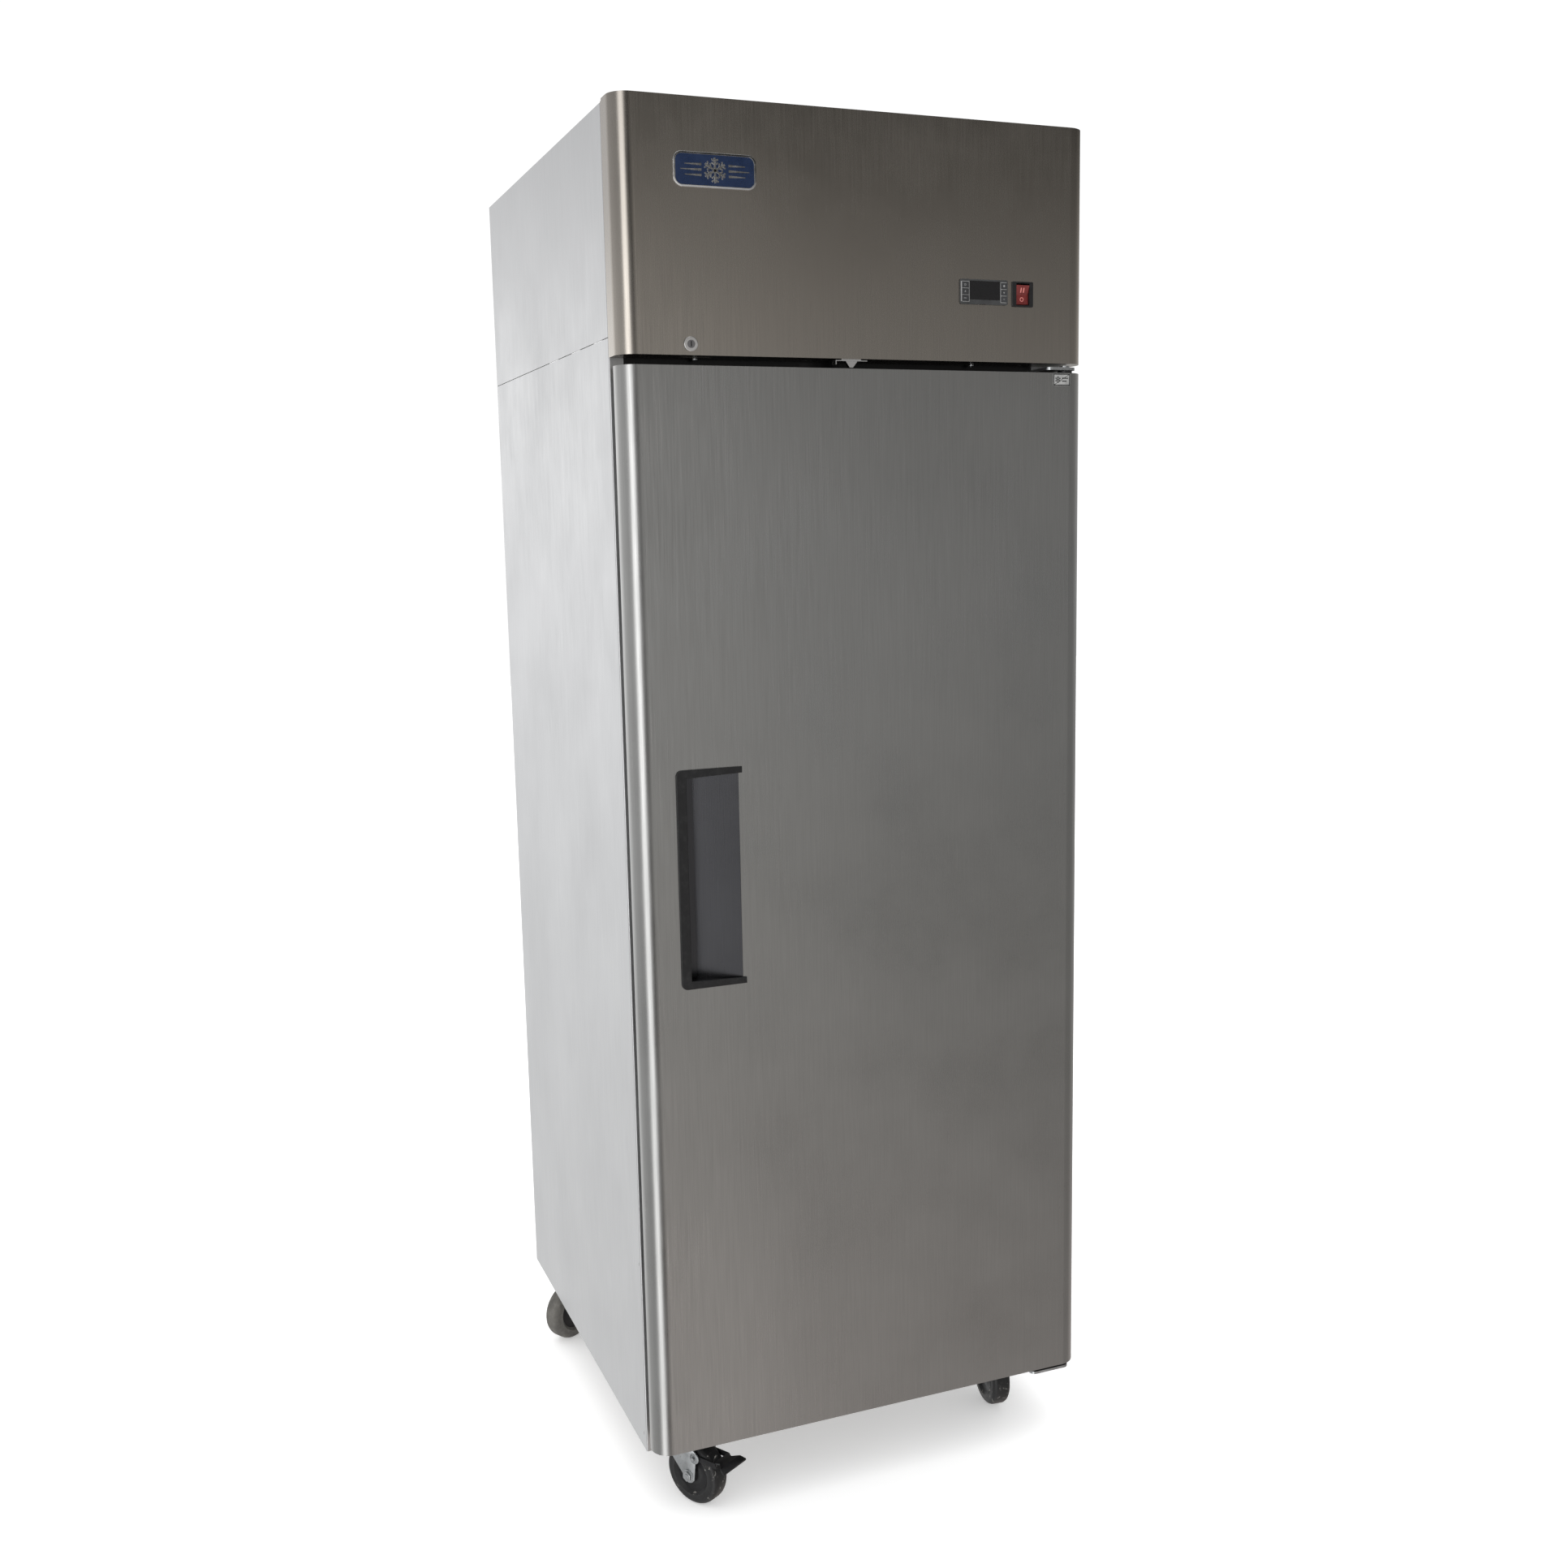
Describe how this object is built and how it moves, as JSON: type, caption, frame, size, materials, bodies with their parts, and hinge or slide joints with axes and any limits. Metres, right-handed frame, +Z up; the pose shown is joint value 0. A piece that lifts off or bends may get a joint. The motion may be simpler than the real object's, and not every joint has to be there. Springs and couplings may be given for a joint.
{
  "type": "reach-in refrigerator",
  "caption": "Upright one-section reach-in cold cabinet with a solid right-hinged door, recessed handle, lift-up header over a top-mounted cooling unit, wire shelves and swivel casters.",
  "frame": {"origin": "on the floor, under the middle of the cabinet's width and of its depth from door front to back panel", "axes": "+Z up, the door faces -Y, +X to the right seen from the front"},
  "size_m": [0.7451, 0.8101, 2.065],
  "materials": {
    "stainless": "satin",
    "galvanised": "satin",
    "chromed": "polished",
    "foam": "matte",
    "aluminium": "satin",
    "copper": "satin",
    "black_enamel": "satin",
    "black_plastic": "satin",
    "grey_plastic": "satin",
    "key_plastic": "satin",
    "display_window": "gloss",
    "red_plastic": "gloss",
    "badge_enamel": "gloss",
    "label_film": "matte",
    "gasket_vinyl": "matte",
    "wheel_rubber": "matte"
  },
  "bodies": {
    "cabinet": {"back_panel": "stainless", "base_pan": "stainless", "cabinet_insulation": "foam", "cabinet_screws": "chromed", "caster_plates": "galvanised", "compressor": "black_enamel", "condenser_coil": "aluminium", "electrical_box": "galvanised", "evaporator_coil": "aluminium", "evaporator_cover": "aluminium", "face_frame": "stainless", "fan_motors": "black_enamel", "header_rail": "black_enamel", "hinge_brackets": "galvanised", "inner_liner": "stainless", "machine_back_grille": "stainless", "machine_side_panels": "stainless", "refrigerant_lines": "copper", "shelf_supports": "chromed", "side_panel_left": "stainless", "side_panel_right": "stainless", "top_deck": "stainless"},
    "door": {"door_skin": "stainless", "door_end_caps": "black_plastic", "door_insulation": "foam", "door_inner_panel": "stainless", "door_gasket": "gasket_vinyl", "handle_trim": "black_plastic", "handle_pan": "stainless", "door_label": "label_film"},
    "header": {"header_panel": "stainless", "header_badge": "badge_enamel", "controller_case": "grey_plastic", "controller_display": "display_window", "switch_bezel": "black_plastic", "lock_body": "chromed", "door_switch_clip": "chromed"},
    "switch_rocker": {"switch_rocker": "red_plastic"},
    "lock_plug": {"lock_plug": "chromed"},
    "evaporator_fan": {"evaporator_fan_blade": "black_plastic"},
    "condenser_fan": {"condenser_fan_blade": "black_plastic"},
    "key_left_lower": {"key_left_lower": "key_plastic"},
    "key_left_middle": {"key_left_middle": "key_plastic"},
    "key_left_upper": {"key_left_upper": "key_plastic"},
    "key_right_lower": {"key_right_lower": "key_plastic"},
    "key_right_middle": {"key_right_middle": "key_plastic"},
    "key_right_upper": {"key_right_upper": "key_plastic"},
    "shelf_bottom": {"wire_shelf_bottom": "chromed"},
    "shelf_middle": {"wire_shelf_middle": "chromed"},
    "shelf_top": {"wire_shelf_top": "chromed"},
    "caster_front_left": {"caster_fork_front_left": "galvanised"},
    "wheel_front_left": {"caster_wheel_front_left": "wheel_rubber"},
    "caster_front_right": {"caster_fork_front_right": "galvanised"},
    "wheel_front_right": {"caster_wheel_front_right": "wheel_rubber"},
    "caster_rear_left": {"caster_fork_rear_left": "galvanised"},
    "wheel_rear_left": {"caster_wheel_rear_left": "wheel_rubber"},
    "caster_rear_right": {"caster_fork_rear_right": "galvanised"},
    "wheel_rear_right": {"caster_wheel_rear_right": "wheel_rubber"},
    "brake_front_left": {"brake_pedal_front_left": "black_plastic"},
    "brake_front_right": {"brake_pedal_front_right": "black_plastic"}
  },
  "joints": [
    {"name": "door_hinge", "type": "hinge", "parent": "cabinet", "child": "door", "pos_m": [0.336, -0.38, 0.9], "axis": [0, 0, 1], "range_deg": [0, 110]},
    {"name": "header_lift", "type": "hinge", "parent": "cabinet", "child": "header", "pos_m": [0, -0.341, 2.0625], "axis": [-1, 0, 0], "range_deg": [0, 80]},
    {"name": "rocker_tilt", "type": "hinge", "parent": "header", "child": "switch_rocker", "pos_m": [0.25435, -0.39, 1.8247], "axis": [-1, 0, 0], "range_deg": [0, 16]},
    {"name": "lock_turn", "type": "hinge", "parent": "header", "child": "lock_plug", "pos_m": [-0.2625, -0.39, 1.7417], "axis": [0, 1, 0], "range_deg": [0, 90]},
    {"name": "evaporator_fan_spin", "type": "hinge", "parent": "cabinet", "child": "evaporator_fan", "pos_m": [0, -0.108, 1.585], "axis": [0, 1, 0], "continuous": true},
    {"name": "condenser_fan_spin", "type": "hinge", "parent": "cabinet", "child": "condenser_fan", "pos_m": [-0.15, -0.146, 1.89], "axis": [0, 1, 0], "continuous": true},
    {"name": "key_left_lower_press", "type": "slide", "parent": "header", "child": "key_left_lower", "axis": [0, 1, 0], "range_m": [0, 0.0005], "stiffness_N_per_m": 300},
    {"name": "key_left_middle_press", "type": "slide", "parent": "header", "child": "key_left_middle", "axis": [0, 1, 0], "range_m": [0, 0.0005], "stiffness_N_per_m": 300},
    {"name": "key_left_upper_press", "type": "slide", "parent": "header", "child": "key_left_upper", "axis": [0, 1, 0], "range_m": [0, 0.0005], "stiffness_N_per_m": 300},
    {"name": "key_right_lower_press", "type": "slide", "parent": "header", "child": "key_right_lower", "axis": [0, 1, 0], "range_m": [0, 0.0005], "stiffness_N_per_m": 300},
    {"name": "key_right_middle_press", "type": "slide", "parent": "header", "child": "key_right_middle", "axis": [0, 1, 0], "range_m": [0, 0.0005], "stiffness_N_per_m": 300},
    {"name": "key_right_upper_press", "type": "slide", "parent": "header", "child": "key_right_upper", "axis": [0, 1, 0], "range_m": [0, 0.0005], "stiffness_N_per_m": 300},
    {"name": "shelf_bottom_lift", "type": "slide", "parent": "cabinet", "child": "shelf_bottom", "axis": [0, 0, 1], "range_m": [0, 0.03]},
    {"name": "shelf_middle_lift", "type": "slide", "parent": "cabinet", "child": "shelf_middle", "axis": [0, 0, 1], "range_m": [0, 0.03]},
    {"name": "shelf_top_lift", "type": "slide", "parent": "cabinet", "child": "shelf_top", "axis": [0, 0, 1], "range_m": [0, 0.03]},
    {"name": "swivel_front_left", "type": "hinge", "parent": "cabinet", "child": "caster_front_left", "pos_m": [-0.302, -0.302, 0.117], "axis": [0, 0, 1], "continuous": true},
    {"name": "roll_front_left", "type": "hinge", "parent": "caster_front_left", "child": "wheel_front_left", "pos_m": [-0.28243, -0.33457, 0.05], "axis": [0.8572, 0.515, 0], "continuous": true},
    {"name": "brake_press_front_left", "type": "hinge", "parent": "caster_front_left", "child": "brake_front_left", "pos_m": [-0.27625, -0.34486, 0.082], "axis": [0.8572, 0.515, 0], "range_deg": [-12, 0]},
    {"name": "swivel_front_right", "type": "hinge", "parent": "cabinet", "child": "caster_front_right", "pos_m": [0.272, -0.298, 0.117], "axis": [0, 0, 1], "continuous": true},
    {"name": "roll_front_right", "type": "hinge", "parent": "caster_front_right", "child": "wheel_front_right", "pos_m": [0.27597, -0.26021, 0.05], "axis": [-0.9945, 0.1045, 0], "continuous": true},
    {"name": "brake_press_front_right", "type": "hinge", "parent": "caster_front_right", "child": "brake_front_right", "pos_m": [0.27723, -0.24827, 0.082], "axis": [-0.9945, 0.1045, 0], "range_deg": [-12, 0]},
    {"name": "swivel_rear_left", "type": "hinge", "parent": "cabinet", "child": "caster_rear_left", "pos_m": [-0.3, 0.281, 0.117], "axis": [0, 0, 1], "continuous": true},
    {"name": "roll_rear_left", "type": "hinge", "parent": "caster_rear_left", "child": "wheel_rear_left", "pos_m": [-0.33324, 0.26258, 0.05], "axis": [0.4848, -0.8746, 0], "continuous": true},
    {"name": "swivel_rear_right", "type": "hinge", "parent": "cabinet", "child": "caster_rear_right", "pos_m": [0.272, 0.281, 0.117], "axis": [0, 0, 1], "continuous": true},
    {"name": "roll_rear_right", "type": "hinge", "parent": "caster_rear_right", "child": "wheel_rear_right", "pos_m": [0.253, 0.31391, 0.05], "axis": [-0.866, -0.5, 0], "continuous": true}
  ]
}
